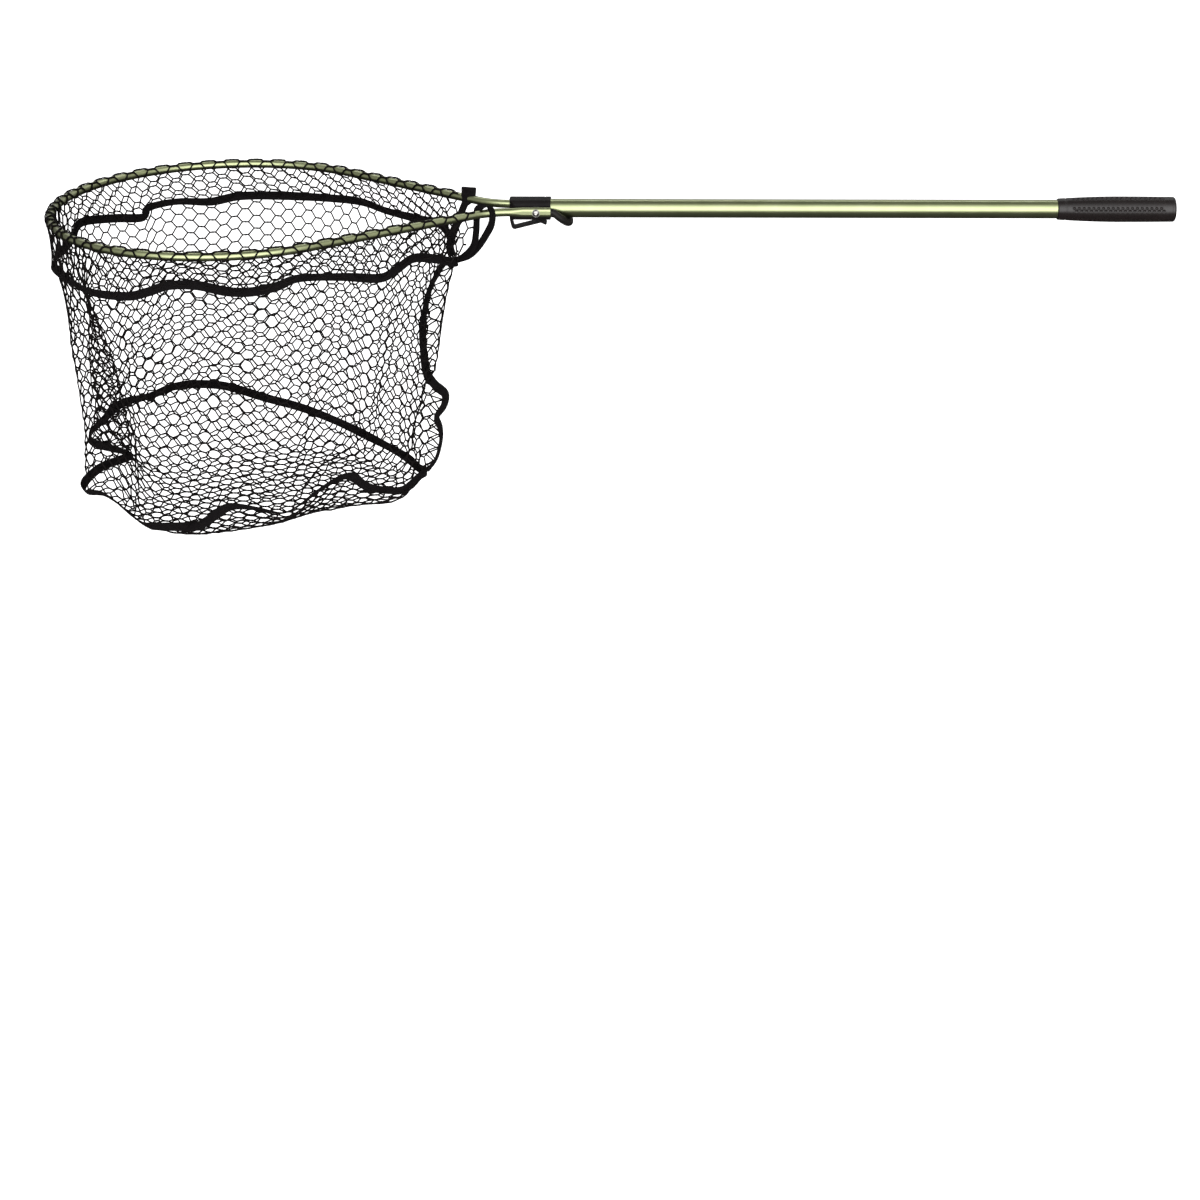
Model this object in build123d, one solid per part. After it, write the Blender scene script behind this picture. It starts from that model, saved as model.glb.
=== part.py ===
from build123d import *
import os
from math import asin, atan2, cos, degrees, hypot, radians, sin, sqrt, tan

# Folding landing net, in millimetres. It is drawn about the pivot bolt, with +X along the handle to
# the grip, the hoop on the -X side and +Z up, and is moved at the end so that the origin is the
# middle of the bow's rod at its apex, where the net hangs from a hook.

# Hoop: one bent tube, round but for its two flattened arms.
HOOP_D = 9.0
HOOP_WALL = 1.0
HOOP_TIP_X = -520.0
HOOP_TIP_R = 186.0
THROAT_R = 60.0
ARM_Y = 16.75
ARM_END_X = 15.5
ARM_FLAT_X = -14.0
ARM_ROUND_X = -28.0
ARM_ACROSS = 7.0
ARM_TALL = 10.5

# Bow: a coated rod plugged into the arm ends and bent down under the handle.
BOW_D = 8.0
BOW_CORE_D = 5.0
BOW_CORE_START_X = 5.0
BOW_BEND_X = 18.0
BOW_SLOPE = 40.0
BOW_BEND_R = 6.0
BOW_CORNER_R = 14.0

# Handle tube, head and grip.
TUBE_D = 20.0
TUBE_WALL = 1.2
TUBE_START_X = 6.0
TUBE_END_X = 672.0
REST_GAP = 0.3
HEAD_FRONT_X = -29.0
HEAD_REAR_X = 15.0
HEAD_ACROSS = 24.6
HEAD_TALL = 22.0
HEAD_CORNER_R = 6.0
HEAD_FRONT_R = 8.0
SPIGOT_END_X = 47.0
GROOVE_X = 8.5
GROOVE_WIDTH = 0.8
GROOVE_DEPTH = 0.4
HEAD_PIN_D = 3.0
HEAD_PIN_X = 12.0
PLUG_LENGTH = 15.0
GRIP_START_X = 555.0
GRIP_END_X = 676.0
GRIP_START_D = 22.8
GRIP_MAX_D = 27.3
GRIP_END_D = 26.6
GRIP_CHAMFER = 1.2
GRIP_BELLY_X = 620.0
CAP_LENGTH = 4.0
CAP_ROUND = 2.6

# Pivot: an M4 bolt through the arms, turning in a bush in the head.
BOLT_D = 4.0
BOLT_HOLE_D = 4.2
BOLT_HEAD_D = 7.6
BOLT_HEAD_TALL = 2.4
BOLT_SOCKET = 2.5
BOLT_SOCKET_DEEP = 1.4
NUT_ACROSS = 7.0
NUT_TALL = 2.4
NUT_DOME_D = 6.2
NUT_DOME_TALL = 1.8
THREAD_PROUD = 2.0
WASHER_D = 8.2
WASHER_TALL = 0.7
BUSH_D = 8.0
BUSH_BORE_D = 4.1
FRICTION_D = 12.0
FRICTION_GAP = 0.3

# Belt clip: a bent strip whose foot sits in a notch in the head.
CLIP_WIDTH = 11.0
CLIP_THICK = 2.6
CLIP_FOOT_LONG = 3.5
CLIP_FOOT_TALL = 4.2
CLIP_FOOT_GAP = 0.35
CLIP_ELBOW = (-25.4, -21.2)
CLIP_TIP = (4.5, -13.5)
CLIP_LIP = (9.5, -15.8)
CLIP_ELBOW_R = 2.4

# Bag: depth, then centre and radius of the wide and the narrow end of its outline.
BAG_LEVELS = (
    (-4.8, -334.0, 187.5, -90.0, 35.6),
    (-47.0, -332.0, 181.5, -114.0, 30.0),
    (-110.0, -338.0, 173.0, -133.0, 27.0),
    (-215.0, -342.0, 166.0, -134.0, 30.0),
    (-330.0, -343.0, 162.0, -157.0, 32.0),
)
COLLAR_THICK = 3.0
COLLAR_LOW_Z = -42.0
NET_THICK = 1.5
TAPE_WIDE = 10.0
TAPE_THICK = 1.2
FLOOR_Z = -296.0
FLOOR_TILT = 4.0
STRAP_NEAR_X = -54.0
STRAP_FAR_X = -77.0
STRAP_GAP = 0.3
THROAT_LOW = (-92.0, 0.0, -56.0)
THROAT_TOP_Z = -8.8
THROAT_CLEAR = 8.0

REACH = 2000.0
FILLET_SOFT = 1.5

HOOP_CENTRE_X = HOOP_TIP_X + HOOP_TIP_R
THROAT_CENTRE = Vector(ARM_ROUND_X, ARM_Y + THROAT_R)
BOW_DROP = TUBE_D / 2 + BOW_D / 2 + REST_GAP
BOW_REACH = BOW_DROP / tan(radians(BOW_SLOPE))
APEX = Vector(BOW_BEND_X + BOW_REACH, 0, -BOW_DROP)
ARM_OUT_Y = ARM_Y + ARM_ACROSS / 2
ARM_IN_Y = ARM_Y - ARM_ACROSS / 2


def hoop_splay():
    """Angle between the hoop's straight sides and its axis, from the tangent common to both bends."""
    along = THROAT_CENTRE.X - HOOP_CENTRE_X
    across = THROAT_CENTRE.Y
    apart = hypot(along, across)
    return asin((THROAT_R + HOOP_TIP_R) / apart) - atan2(across, along)


SPLAY = hoop_splay()
SIDE_START = THROAT_CENTRE - Vector(sin(SPLAY), cos(SPLAY)) * THROAT_R
SIDE_END = Vector(HOOP_CENTRE_X, 0) + Vector(sin(SPLAY), cos(SPLAY)) * HOOP_TIP_R


def hoop_line():
    """Centreline of the hoop's round part, from one arm round the tip to the other arm."""
    half = SPLAY / 2
    bend = THROAT_CENTRE - Vector(sin(half), cos(half)) * THROAT_R
    arm = Vector(ARM_ROUND_X, ARM_Y)
    mirror = [Vector(p.X, -p.Y) for p in (arm, bend, SIDE_START, SIDE_END)]
    return Wire(
        [
            Edge.make_three_point_arc(arm, bend, SIDE_START),
            Edge.make_line(SIDE_START, SIDE_END),
            Edge.make_three_point_arc(SIDE_END, Vector(HOOP_TIP_X, 0), mirror[3]),
            Edge.make_line(mirror[3], mirror[2]),
            Edge.make_three_point_arc(mirror[2], mirror[1], mirror[0]),
        ]
    )


def hoop_side_y(x):
    """Distance from the axis to the hoop's centreline near the throat."""
    if x < SIDE_START.X:
        return SIDE_START.Y + (SIDE_START.X - x) * tan(SPLAY)
    return THROAT_CENTRE.Y - sqrt(THROAT_R**2 - (x - THROAT_CENTRE.X) ** 2)


def arm_section(x, side, across, tall):
    """Arm's outline at x: flats joined by round ends, or a circle when across and tall are equal."""
    flat = (ARM_TALL - ARM_ACROSS) / 2
    edge = across / 2 if tall > across else sqrt((across / 2) ** 2 - flat**2)
    outline = [
        ThreePointArc((edge, flat), (0, tall / 2), (-edge, flat)),
        ThreePointArc((-edge, -flat), (0, -tall / 2), (edge, -flat)),
    ]
    if tall > across:
        outline += [Line((-edge, flat), (-edge, -flat)), Line((edge, -flat), (edge, flat))]
    else:
        outline += [
            ThreePointArc((-edge, flat), (-across / 2, 0), (-edge, -flat)),
            ThreePointArc((edge, -flat), (across / 2, 0), (edge, flat)),
        ]
    at = Plane(origin=(x, side * ARM_Y, 0), x_dir=(0, 1, 0), z_dir=(1, 0, 0))
    return at * make_face(outline)


def arm(side, wall):
    """Flattened arm with its run-out to the round tube, reduced by wall all round."""
    round_end = arm_section(ARM_ROUND_X, side, HOOP_D - 2 * wall, HOOP_D - 2 * wall)
    flat_end = arm_section(ARM_FLAT_X, side, ARM_ACROSS - 2 * wall, ARM_TALL - 2 * wall)
    return loft([round_end, flat_end]) + extrude(flat_end, ARM_END_X - ARM_FLAT_X)


def rod(path, diameter):
    return sweep(Plane(origin=path @ 0, z_dir=path % 0) * Circle(diameter / 2), path)


def across_y(diameter, low, high, x=0.0):
    """Round bar along Y from low to high."""
    at = Plane(origin=(x, low, 0), z_dir=(0, 1, 0))
    return extrude(at * Circle(diameter / 2), high - low)


def along_x(diameter, low, high):
    """Round bar along X from low to high."""
    return extrude(Plane(origin=(low, 0, 0), z_dir=(1, 0, 0)) * Circle(diameter / 2), high - low)


def make_hoop_tube():
    line = hoop_line()
    tube = rod(line, HOOP_D) + arm(1, 0) + arm(-1, 0)
    hollow = rod(line, HOOP_D - 2 * HOOP_WALL) + arm(1, HOOP_WALL) + arm(-1, HOOP_WALL)
    return tube - hollow - across_y(BOLT_HOLE_D, -REACH, REACH)


def bow_path(start_x):
    """Centreline of the bow from start_x in one arm to the same place in the other."""
    corners = [(start_x, ARM_Y, 0), (BOW_BEND_X, ARM_Y, 0), (APEX.X, ARM_Y, APEX.Z)]
    corners += [(x, -y, z) for x, y, z in reversed(corners)]
    return FilletPolyline(*corners, radius=[BOW_BEND_R, BOW_CORNER_R, BOW_CORNER_R, BOW_BEND_R])


def make_bow_core():
    return rod(bow_path(BOW_CORE_START_X), BOW_CORE_D)


def make_bow_sleeve():
    return rod(bow_path(ARM_END_X), BOW_D) - make_bow_core()


def dome(diameter, tall, y, side):
    """Flattened dome standing on the plane at y, on the outer side."""
    ball_r = ((diameter / 2) ** 2 + tall**2) / (2 * tall)
    ball = Pos(0, side * (y + tall - ball_r), 0) * Sphere(ball_r)
    keep = Plane(origin=(0, side * y, 0), z_dir=(0, side, 0)) * Circle(diameter / 2)
    return ball & extrude(keep, tall)


SEAT_Y = ARM_OUT_Y + WASHER_TALL


def make_pivot_bolt():
    shank = across_y(BOLT_D, -SEAT_Y, SEAT_Y + THREAD_PROUD)
    socket_at = Plane(origin=(0, -SEAT_Y - BOLT_HEAD_TALL, 0), z_dir=(0, 1, 0))
    socket = extrude(socket_at * RegularPolygon(BOLT_SOCKET / 2, 6, major_radius=False), BOLT_SOCKET_DEEP)
    return shank + dome(BOLT_HEAD_D, BOLT_HEAD_TALL, SEAT_Y, -1) - socket


def make_pivot_nut():
    seat = Plane(origin=(0, SEAT_Y, 0), z_dir=(0, 1, 0))
    body = extrude(seat * RegularPolygon(NUT_ACROSS / 2, 6, major_radius=False), NUT_TALL)
    capped = body + dome(NUT_DOME_D, NUT_DOME_TALL, SEAT_Y + NUT_TALL, 1)
    return capped - across_y(BOLT_D, 0, SEAT_Y + THREAD_PROUD)


def ring(outer_d, inner_d, low, high):
    return across_y(outer_d, low, high) - across_y(inner_d, low, high)


def make_outer_washers():
    return [
        ring(WASHER_D, BOLT_HOLE_D, -SEAT_Y, -ARM_OUT_Y),
        ring(WASHER_D, BOLT_HOLE_D, ARM_OUT_Y, SEAT_Y),
    ]


def make_friction_washers():
    inner = HEAD_ACROSS / 2 + FRICTION_GAP
    return [
        ring(FRICTION_D, BOLT_HOLE_D, -ARM_IN_Y, -inner),
        ring(FRICTION_D, BOLT_HOLE_D, inner, ARM_IN_Y),
    ]


def make_pivot_bush():
    return ring(BUSH_D, BUSH_BORE_D, -HEAD_ACROSS / 2, HEAD_ACROSS / 2)


def head_block():
    """Rounded block, with its front corners rounded in plan and a shallow groove behind its collar."""
    end = Plane(origin=(HEAD_FRONT_X, 0, 0), x_dir=(0, 1, 0), z_dir=(1, 0, 0))
    block = extrude(
        end * RectangleRounded(HEAD_ACROSS, HEAD_TALL, HEAD_CORNER_R), HEAD_REAR_X - HEAD_FRONT_X
    )
    length = HEAD_REAR_X - HEAD_FRONT_X
    plan = Pos(HEAD_FRONT_X + length, 0) * RectangleRounded(2 * length, HEAD_ACROSS, HEAD_FRONT_R)
    block &= Pos(0, 0, -HEAD_TALL) * extrude(plan, 2 * HEAD_TALL)
    at = Plane(origin=(GROOVE_X, 0, 0), x_dir=(0, 1, 0), z_dir=(1, 0, 0))
    across, tall = HEAD_ACROSS - 2 * GROOVE_DEPTH, HEAD_TALL - 2 * GROOVE_DEPTH
    groove = extrude(at * Rectangle(REACH, REACH), GROOVE_WIDTH)
    groove -= extrude(at * RectangleRounded(across, tall, HEAD_CORNER_R - GROOVE_DEPTH), GROOVE_WIDTH)
    return block - groove


def clip_foot(gap):
    """Foot of the belt clip, grown by gap; it is flush with the head's front."""
    low_x = HEAD_FRONT_X - (REACH if gap else 0)
    high_x = HEAD_FRONT_X + CLIP_FOOT_LONG + gap
    high_z = -HEAD_TALL / 2 + CLIP_FOOT_TALL + gap
    low_z = -HEAD_TALL / 2 - (REACH if gap else 0)
    size = (high_x - low_x, CLIP_WIDTH + 2 * gap, high_z - low_z)
    return Pos((low_x + high_x) / 2, 0, (low_z + high_z) / 2) * Box(*size)


def make_head():
    head = head_block()
    head -= across_y(BUSH_D, -REACH, REACH)
    head -= along_x(TUBE_D, TUBE_START_X, REACH)
    head += along_x(TUBE_D - 2 * TUBE_WALL, TUBE_START_X, SPIGOT_END_X)
    head -= across_y(HEAD_PIN_D, -REACH, REACH, HEAD_PIN_X)
    return head - clip_foot(CLIP_FOOT_GAP)


def make_head_pin():
    return across_y(HEAD_PIN_D, -HEAD_ACROSS / 2, HEAD_ACROSS / 2, HEAD_PIN_X)


def make_handle_tube():
    tube = along_x(TUBE_D, TUBE_START_X, TUBE_END_X)
    tube -= along_x(TUBE_D - 2 * TUBE_WALL, TUBE_START_X, TUBE_END_X)
    return tube - across_y(HEAD_PIN_D, -REACH, REACH, HEAD_PIN_X)


def make_tube_plug():
    return along_x(TUBE_D - 2 * TUBE_WALL, TUBE_END_X - PLUG_LENGTH, TUBE_END_X)


def turned(outline):
    """Solid of revolution about the X axis of an outline of (x, radius) edges."""
    return revolve(Plane.XY * make_face(outline), Axis.X)


def make_grip():
    start_r, max_r, end_r = GRIP_START_D / 2, GRIP_MAX_D / 2, GRIP_END_D / 2
    shoulder = (GRIP_START_X + GRIP_CHAMFER, start_r)
    outline = [
        Line((GRIP_START_X, TUBE_D / 2), (GRIP_START_X, start_r - GRIP_CHAMFER)),
        Line((GRIP_START_X, start_r - GRIP_CHAMFER), shoulder),
        ThreePointArc(shoulder, (GRIP_BELLY_X, max_r), (GRIP_END_X, end_r)),
        Line((GRIP_END_X, end_r), (GRIP_END_X, TUBE_D / 2)),
        Line((GRIP_END_X, TUBE_D / 2), (GRIP_START_X, TUBE_D / 2)),
    ]
    return turned(outline)


def make_grip_cap():
    end_x, end_r = GRIP_END_X + CAP_LENGTH, GRIP_END_D / 2
    bend = CAP_ROUND * (1 - sqrt(0.5))
    outline = [
        Line((TUBE_END_X, 0), (TUBE_END_X, TUBE_D / 2)),
        Line((TUBE_END_X, TUBE_D / 2), (GRIP_END_X, TUBE_D / 2)),
        Line((GRIP_END_X, TUBE_D / 2), (GRIP_END_X, end_r)),
        Line((GRIP_END_X, end_r), (end_x - CAP_ROUND, end_r)),
        ThreePointArc((end_x - CAP_ROUND, end_r), (end_x - bend, end_r - bend), (end_x, end_r - CAP_ROUND)),
        Line((end_x, end_r - CAP_ROUND), (end_x, 0)),
        Line((end_x, 0), (TUBE_END_X, 0)),
    ]
    return turned(outline)


def make_belt_clip():
    """Strip bent from the foot down, back under the head, and out again at the lip."""
    root = (HEAD_FRONT_X + CLIP_THICK / 2, -HEAD_TALL / 2)
    line = FilletPolyline(root, CLIP_ELBOW, CLIP_TIP, CLIP_LIP, radius=CLIP_ELBOW_R)
    strip = make_face(offset(line, CLIP_THICK / 2, side=Side.BOTH))
    upright = Plane(origin=(0, CLIP_WIDTH / 2, 0), x_dir=(1, 0, 0), z_dir=(0, -1, 0))
    return extrude(upright * strip, CLIP_WIDTH) + clip_foot(0)


def outline_of(level, grow):
    """Horizontal teardrop at one depth of the bag: two circles and the tangents outside them."""
    z, wide_x, wide_r, narrow_x, narrow_r = level
    wide_r, narrow_r = wide_r + grow, narrow_r + grow
    lean = asin((wide_r - narrow_r) / (narrow_x - wide_x))
    wide = (wide_x + wide_r * sin(lean), wide_r * cos(lean))
    narrow = (narrow_x + narrow_r * sin(lean), narrow_r * cos(lean))
    edges = [
        ThreePointArc(wide, (wide_x - wide_r, 0), (wide[0], -wide[1])),
        Line((wide[0], -wide[1]), (narrow[0], -narrow[1])),
        ThreePointArc((narrow[0], -narrow[1]), (narrow_x + narrow_r, 0), narrow),
        Line(narrow, wide),
    ]
    return Pos(0, 0, z) * make_face(edges)


def bag_form(grow=0.0):
    """The bag's whole inside as a solid, its surface moved out by grow."""
    return loft([outline_of(level, grow) for level in BAG_LEVELS], ruled=True)


def floor_slab(low, high):
    """Everything between two heights over the tilted floor of the bag."""
    at = Plane(origin=(0, 0, FLOOR_Z), x_dir=(1, 0, 0), z_dir=(0, -sin(radians(FLOOR_TILT)), 1))
    return at.offset(low) * extrude(Rectangle(REACH, REACH), high - low)


def level_slab(low, high):
    return Pos(0, 0, low) * extrude(Rectangle(REACH, REACH), high - low)


def throat_ends():
    """Where the throat tape starts and ends, just under the hoop."""
    near = Vector(STRAP_NEAR_X, -hoop_side_y(STRAP_NEAR_X), THROAT_TOP_Z)
    far = Vector(STRAP_FAR_X, hoop_side_y(STRAP_FAR_X), THROAT_TOP_Z)
    return near, far


def throat_plane():
    """Slanted plane of the throat tape, its normal towards the handle."""
    near, far = throat_ends()
    low = Vector(*THROAT_LOW)
    return Plane(origin=low, x_dir=far - near, z_dir=(far - low).cross(near - low))


def throat_cut():
    """Space on the handle's side of the throat, where there is no netting."""
    block = throat_plane().offset(-THROAT_CLEAR) * extrude(Rectangle(REACH, REACH), REACH)
    return block & level_slab(THROAT_LOW[2] - TAPE_WIDE / 2, REACH)


def make_net_collar():
    shell = bag_form() - bag_form(-COLLAR_THICK)
    return (shell & level_slab(COLLAR_LOW_Z, 0)) - throat_cut()


def make_net_wall():
    shell = bag_form() - bag_form(-NET_THICK)
    wall = shell & level_slab(-REACH, COLLAR_LOW_Z) & floor_slab(NET_THICK, REACH)
    return wall - throat_cut()


def make_net_floor():
    return bag_form() & floor_slab(0, NET_THICK)


def bag_skin():
    """Thin layer on the outside of the bag, from which the tapes are cut."""
    return bag_form(TAPE_THICK) - bag_form()


def make_rim_tape():
    band = level_slab(COLLAR_LOW_Z - TAPE_WIDE / 2, COLLAR_LOW_Z + TAPE_WIDE / 2)
    return (bag_skin() & band) - throat_cut()


def make_floor_tape():
    return bag_skin() & floor_slab(0, TAPE_WIDE)


def make_back_seam_tape():
    strip = Pos(0, 0, -REACH / 2) * Box(-2 * BAG_LEVELS[-1][3], TAPE_WIDE, REACH)
    seam = bag_skin() & strip & floor_slab(TAPE_WIDE, REACH)
    return seam & level_slab(-REACH, THROAT_LOW[2] - TAPE_WIDE / 2)


def make_throat_tape():
    near, far = throat_ends()
    line = Edge.make_three_point_arc(near, Vector(*THROAT_LOW), far)
    at = Plane(origin=near, x_dir=throat_plane().z_dir, z_dir=line % 0)
    return sweep(at * Rectangle(TAPE_WIDE, TAPE_THICK), line)


def strap_loop(x, side):
    """Tape wrapped once round the hoop tube."""
    tilt = SPLAY if x < SIDE_START.X else asin((THROAT_CENTRE.X - x) / THROAT_R)
    at = Plane(origin=(x, side * hoop_side_y(x), 0), z_dir=(-cos(tilt), side * sin(tilt), 0))
    wrap = at * extrude(Circle(HOOP_D / 2 + STRAP_GAP + TAPE_THICK), TAPE_WIDE / 2, both=True)
    return wrap - at * extrude(Circle(HOOP_D / 2 + STRAP_GAP), TAPE_WIDE, both=True)


def make_strap_loops():
    return [strap_loop(STRAP_NEAR_X, -1), strap_loop(STRAP_FAR_X, 1)]


NODES = {
    "hoop_tube": make_hoop_tube,
    "bow_core": make_bow_core,
    "bow_sleeve": make_bow_sleeve,
    "pivot_bolt": make_pivot_bolt,
    "pivot_nut": make_pivot_nut,
    "outer_washers": make_outer_washers,
    "friction_washers": make_friction_washers,
    "pivot_bush": make_pivot_bush,
    "head": make_head,
    "head_pin": make_head_pin,
    "handle_tube": make_handle_tube,
    "tube_plug": make_tube_plug,
    "grip": make_grip,
    "grip_cap": make_grip_cap,
    "belt_clip": make_belt_clip,
    "net_collar": make_net_collar,
    "net_wall": make_net_wall,
    "net_floor": make_net_floor,
    "rim_tape": make_rim_tape,
    "floor_tape": make_floor_tape,
    "back_seam_tape": make_back_seam_tape,
    "throat_tape": make_throat_tape,
    "strap_loops": make_strap_loops,
}


def main():
    os.makedirs("parts", exist_ok=True)
    to_row = Location(-APEX)
    for name, make in NODES.items():
        made = make()
        pieces = made if isinstance(made, list) else made.solids()
        moved = [piece.solid().moved(to_row) for piece in pieces]
        part = moved[0] if len(moved) == 1 else Compound(children=moved)
        export_step(part, f"parts/{name}.step")
    print("apex", APEX, "splay", round(degrees(SPLAY), 2))


main()
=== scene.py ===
"""Looks of a folding landing net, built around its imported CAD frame.

Shapes are worked out in millimetres about the pivot bolt, with +X along the handle and +Z up, as
the CAD part is drawn, and are moved into the row frame in metres when a mesh is made.
"""

import math

import bpy
import numpy as np
from mathutils import Matrix, Vector


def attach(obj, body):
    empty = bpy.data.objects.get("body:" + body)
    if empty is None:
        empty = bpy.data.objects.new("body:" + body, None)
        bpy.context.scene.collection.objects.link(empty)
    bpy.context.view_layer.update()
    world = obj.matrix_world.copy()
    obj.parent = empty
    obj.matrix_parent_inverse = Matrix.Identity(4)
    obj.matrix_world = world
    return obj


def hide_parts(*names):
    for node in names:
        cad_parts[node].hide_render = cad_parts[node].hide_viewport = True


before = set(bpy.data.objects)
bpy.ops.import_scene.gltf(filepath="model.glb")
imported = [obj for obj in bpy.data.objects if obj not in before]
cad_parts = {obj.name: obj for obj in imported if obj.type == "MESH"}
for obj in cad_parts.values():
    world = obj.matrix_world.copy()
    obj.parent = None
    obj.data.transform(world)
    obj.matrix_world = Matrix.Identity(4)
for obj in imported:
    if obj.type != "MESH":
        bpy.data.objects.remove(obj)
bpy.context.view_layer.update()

APEX = np.array((35.0421, 0.0, -14.3))
UP = np.array((0.0, 0.0, 1.0))

# Hoop centreline, its numbers copied from the CAD part.
HOOP_R = 4.5
TIP_CENTRE_X = -334.0
TIP_R = 186.0
SIDE_START = np.array((-64.24, 28.93))
SIDE_END = np.array((-221.7, 148.2))
THROAT_CENTRE = np.array((-28.0, 76.75))
THROAT_R = 60.0

# Netting: hexagonal mesh of twisted twine, its joints running round the bag.
MESH_PERIOD = 25.8
MESH_ROW = 7.5
JOINT_SHARE = 0.252
TWINE_R = 0.84
TWINE_OFFSET = 0.5
TWINE_SIDES = 6
WALL_ROWS = 35
WALL_JOINTS = 48
COLLAR_ROWS = 14
COLLAR_TUBE_ROWS = (5, 8)
COLLAR_JOINTS = 44
FLOOR_SHRINK = 0.94
FLOOR_SAG = 9.0
FLOOR_LOWEST = -326.0
FLOOR_SOFT = 4.0
FLOOR_EDGE = 30.0
FLOOR_SLACK = 1.03
FLOOR_EDGE_SLACK = 1.04
WALL_RIPPLE = 3.0
WALL_RIPPLES = ((1.0, 9, 4, 0.0), (0.7, 14, -6, 1.3))
WAIST_ALL_ROUND = 5.0
WAIST_AT_ENDS = 8.0
WAIST_FULLNESS = 0.6
SEAM_GAP = 3.2
COLLAR_FROM_DEGREES = -20.0
COLLAR_WRAP_DEGREES = 220.0
COLLAR_BULGE = 2.5
COLLAR_EDGE_GAP = 1.2
COLLAR_CLEAR = 0.4
HOOP_CLEAR = 0.1
SEED = 11

# Hanging of the netting. A share of each rest length is that of the net's first shape.
GRAVITY = np.array((0.0, 0.0, -0.012))
RELAX_STEPS = 120
RELAX_PASSES = 8
SPEED_KEPT = 0.9
SPEED_LIMIT = 4.0
SLACK_STIFFNESS = 0.35
OVERSHOOT = 1.4
WEAK = 0.05
WALL_FOLLOW = 0.6
COLLAR_FOLLOW = 0.7

# Tapes: x, y, z of points that each one passes through, or x and z where the hoop gives y.
# The seven lists and the three single points are not worked out from the frame. A scratch program
# made them from positions read by eye, and they were rounded and partly moved by hand. Formulas
# with a few named sizes should replace them.
TAPE_WIDE = 10.0
TAPE_THICK = 1.3
THROAT_LOW = (-92.0, 0.0, -56.0)
JUNCTION_NEAR = (-86.0, -20.0, -53.0)
JUNCTION_FAR = (-95.0, 20.0, -44.0)
RIM_NEAR_XZ = (
    (-88, -48), (-106, -40), (-127, -35), (-144, -44), (-160, -49), (-193, -40), (-235, -32),
    (-256, -37), (-280, -40), (-305, -38), (-334, -31), (-364, -32), (-388, -41), (-411, -48),
    (-452, -52), (-480, -49),
)
RIM_TIP = ((-511, -57, -50), (-516, -32, -47), (-514, 5, -48), (-511, 35, -42), (-507, 60, -34))
RIM_FAR_XZ = (
    (-483, -43), (-456, -50), (-450, -40), (-421, -38), (-385, -42), (-352, -37), (-303, -36),
    (-242, -33), (-205, -30), (-174, -34), (-133, -35), (-108, -36),
)
FLOOR_LOOP = (
    (-127, 0, -304), (-134, -31, -299), (-151, -53, -305), (-175, -80, -293), (-187, -93, -282),
    (-195, -102, -270), (-207, -115, -266), (-227, -132, -273), (-248, -144, -286),
    (-265, -151, -292), (-289, -157, -285), (-312, -160, -281), (-326, -160, -285),
    (-346, -158, -300), (-358, -155, -306), (-405, -134, -315), (-425, -119, -316),
    (-457, -77, -313), (-477, -61, -308), (-498, -49, -311), (-502, -42, -306), (-497, -35, -299),
    (-483, -25, -290), (-459, -10, -285), (-460, 0, -284), (-498, 10, -277), (-507, 20, -270),
    (-498, 50, -264), (-482, 82, -255), (-455, 110, -256), (-434, 134, -254), (-408, 147, -255),
    (-375, 156, -261), (-331, 159, -276), (-287, 157, -288), (-241, 140, -300), (-192, 98, -307),
    (-158, 61, -310), (-138, 24, -310),
)
BACK_SEAM = (
    (-98, -4, -57), (-105, -8, -66), (-117, -18, -88), (-122, -22, -108), (-125, -24, -128),
    (-124, -22, -155), (-122, -18, -180), (-115, -12, -196), (-104, -3, -211), (-105, -4, -224),
    (-113, -10, -236), (-110, -4, -251), (-110, 0, -267), (-116, 0, -289), (-127, 0, -304),
)
NEAR_STRAP = (
    (-88, -19, -54), (-76, -19, -47), (-67, -20, -36), (-64, -21, -20), (-63, -21, -4),
    (-61, -24, 5), (-55, -25, 8.5), (-49, -25, 7), (-46, -27, 0), (-47, -26, -10),
    (-52, -23, -21), (-62, -20, -37), (-74, -18, -49), (-90, -19, -55),
)
FAR_STRAP = (
    (-92, 3, -54), (-95, 12, -47), (-93, 21, -38), (-88, 29, -25), (-84, 31, -14), (-80, 33, -5),
    (-77, 34, 1), (-76, 35, 8), (-76, 38, 11), (-76, 43, 11), (-76, 46, 8), (-77, 47, 1),
    (-80, 46, -5), (-84, 40, -14), (-89, 32, -25), (-95, 24, -38), (-96, 13, -48), (-93, 4, -55),
)
STRAP_FLAT_NEAR = (0.80, -0.60, 0.0)
STRAP_FLAT_FAR = (0.97, -0.25, 0.0)
STRAP_WIDE_NEAR = (9.0, 10.0)
STRAP_WIDE_FAR = (8.0, 16.0)
STRAP_WIDENS_Z = -5.0
STRAP_WIDENS_OVER = 7.0


# ------------------------------------------------------------------------------ small tools
def to_row(points):
    """Row-frame metres of pivot-frame millimetres."""
    return (np.asarray(points, float) - APEX) / 1000.0


def unit(vectors):
    """Each vector divided by its length."""
    vectors = np.asarray(vectors, float)
    return vectors / np.maximum(np.linalg.norm(vectors, axis=-1, keepdims=True), 1e-9)


def square_to(vectors, axes):
    """The part of each vector that is square to its axis, at unit length."""
    axes = unit(axes)
    return unit(vectors - np.sum(vectors * axes, axis=-1, keepdims=True) * axes)


def lengths_along(line, closed=False):
    """Distance from the line's start to each point, and for a closed line back to its start."""
    ring = np.vstack((line, line[:1])) if closed else line
    return np.concatenate(([0.0], np.cumsum(np.linalg.norm(np.diff(ring, axis=0), axis=1))))


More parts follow.
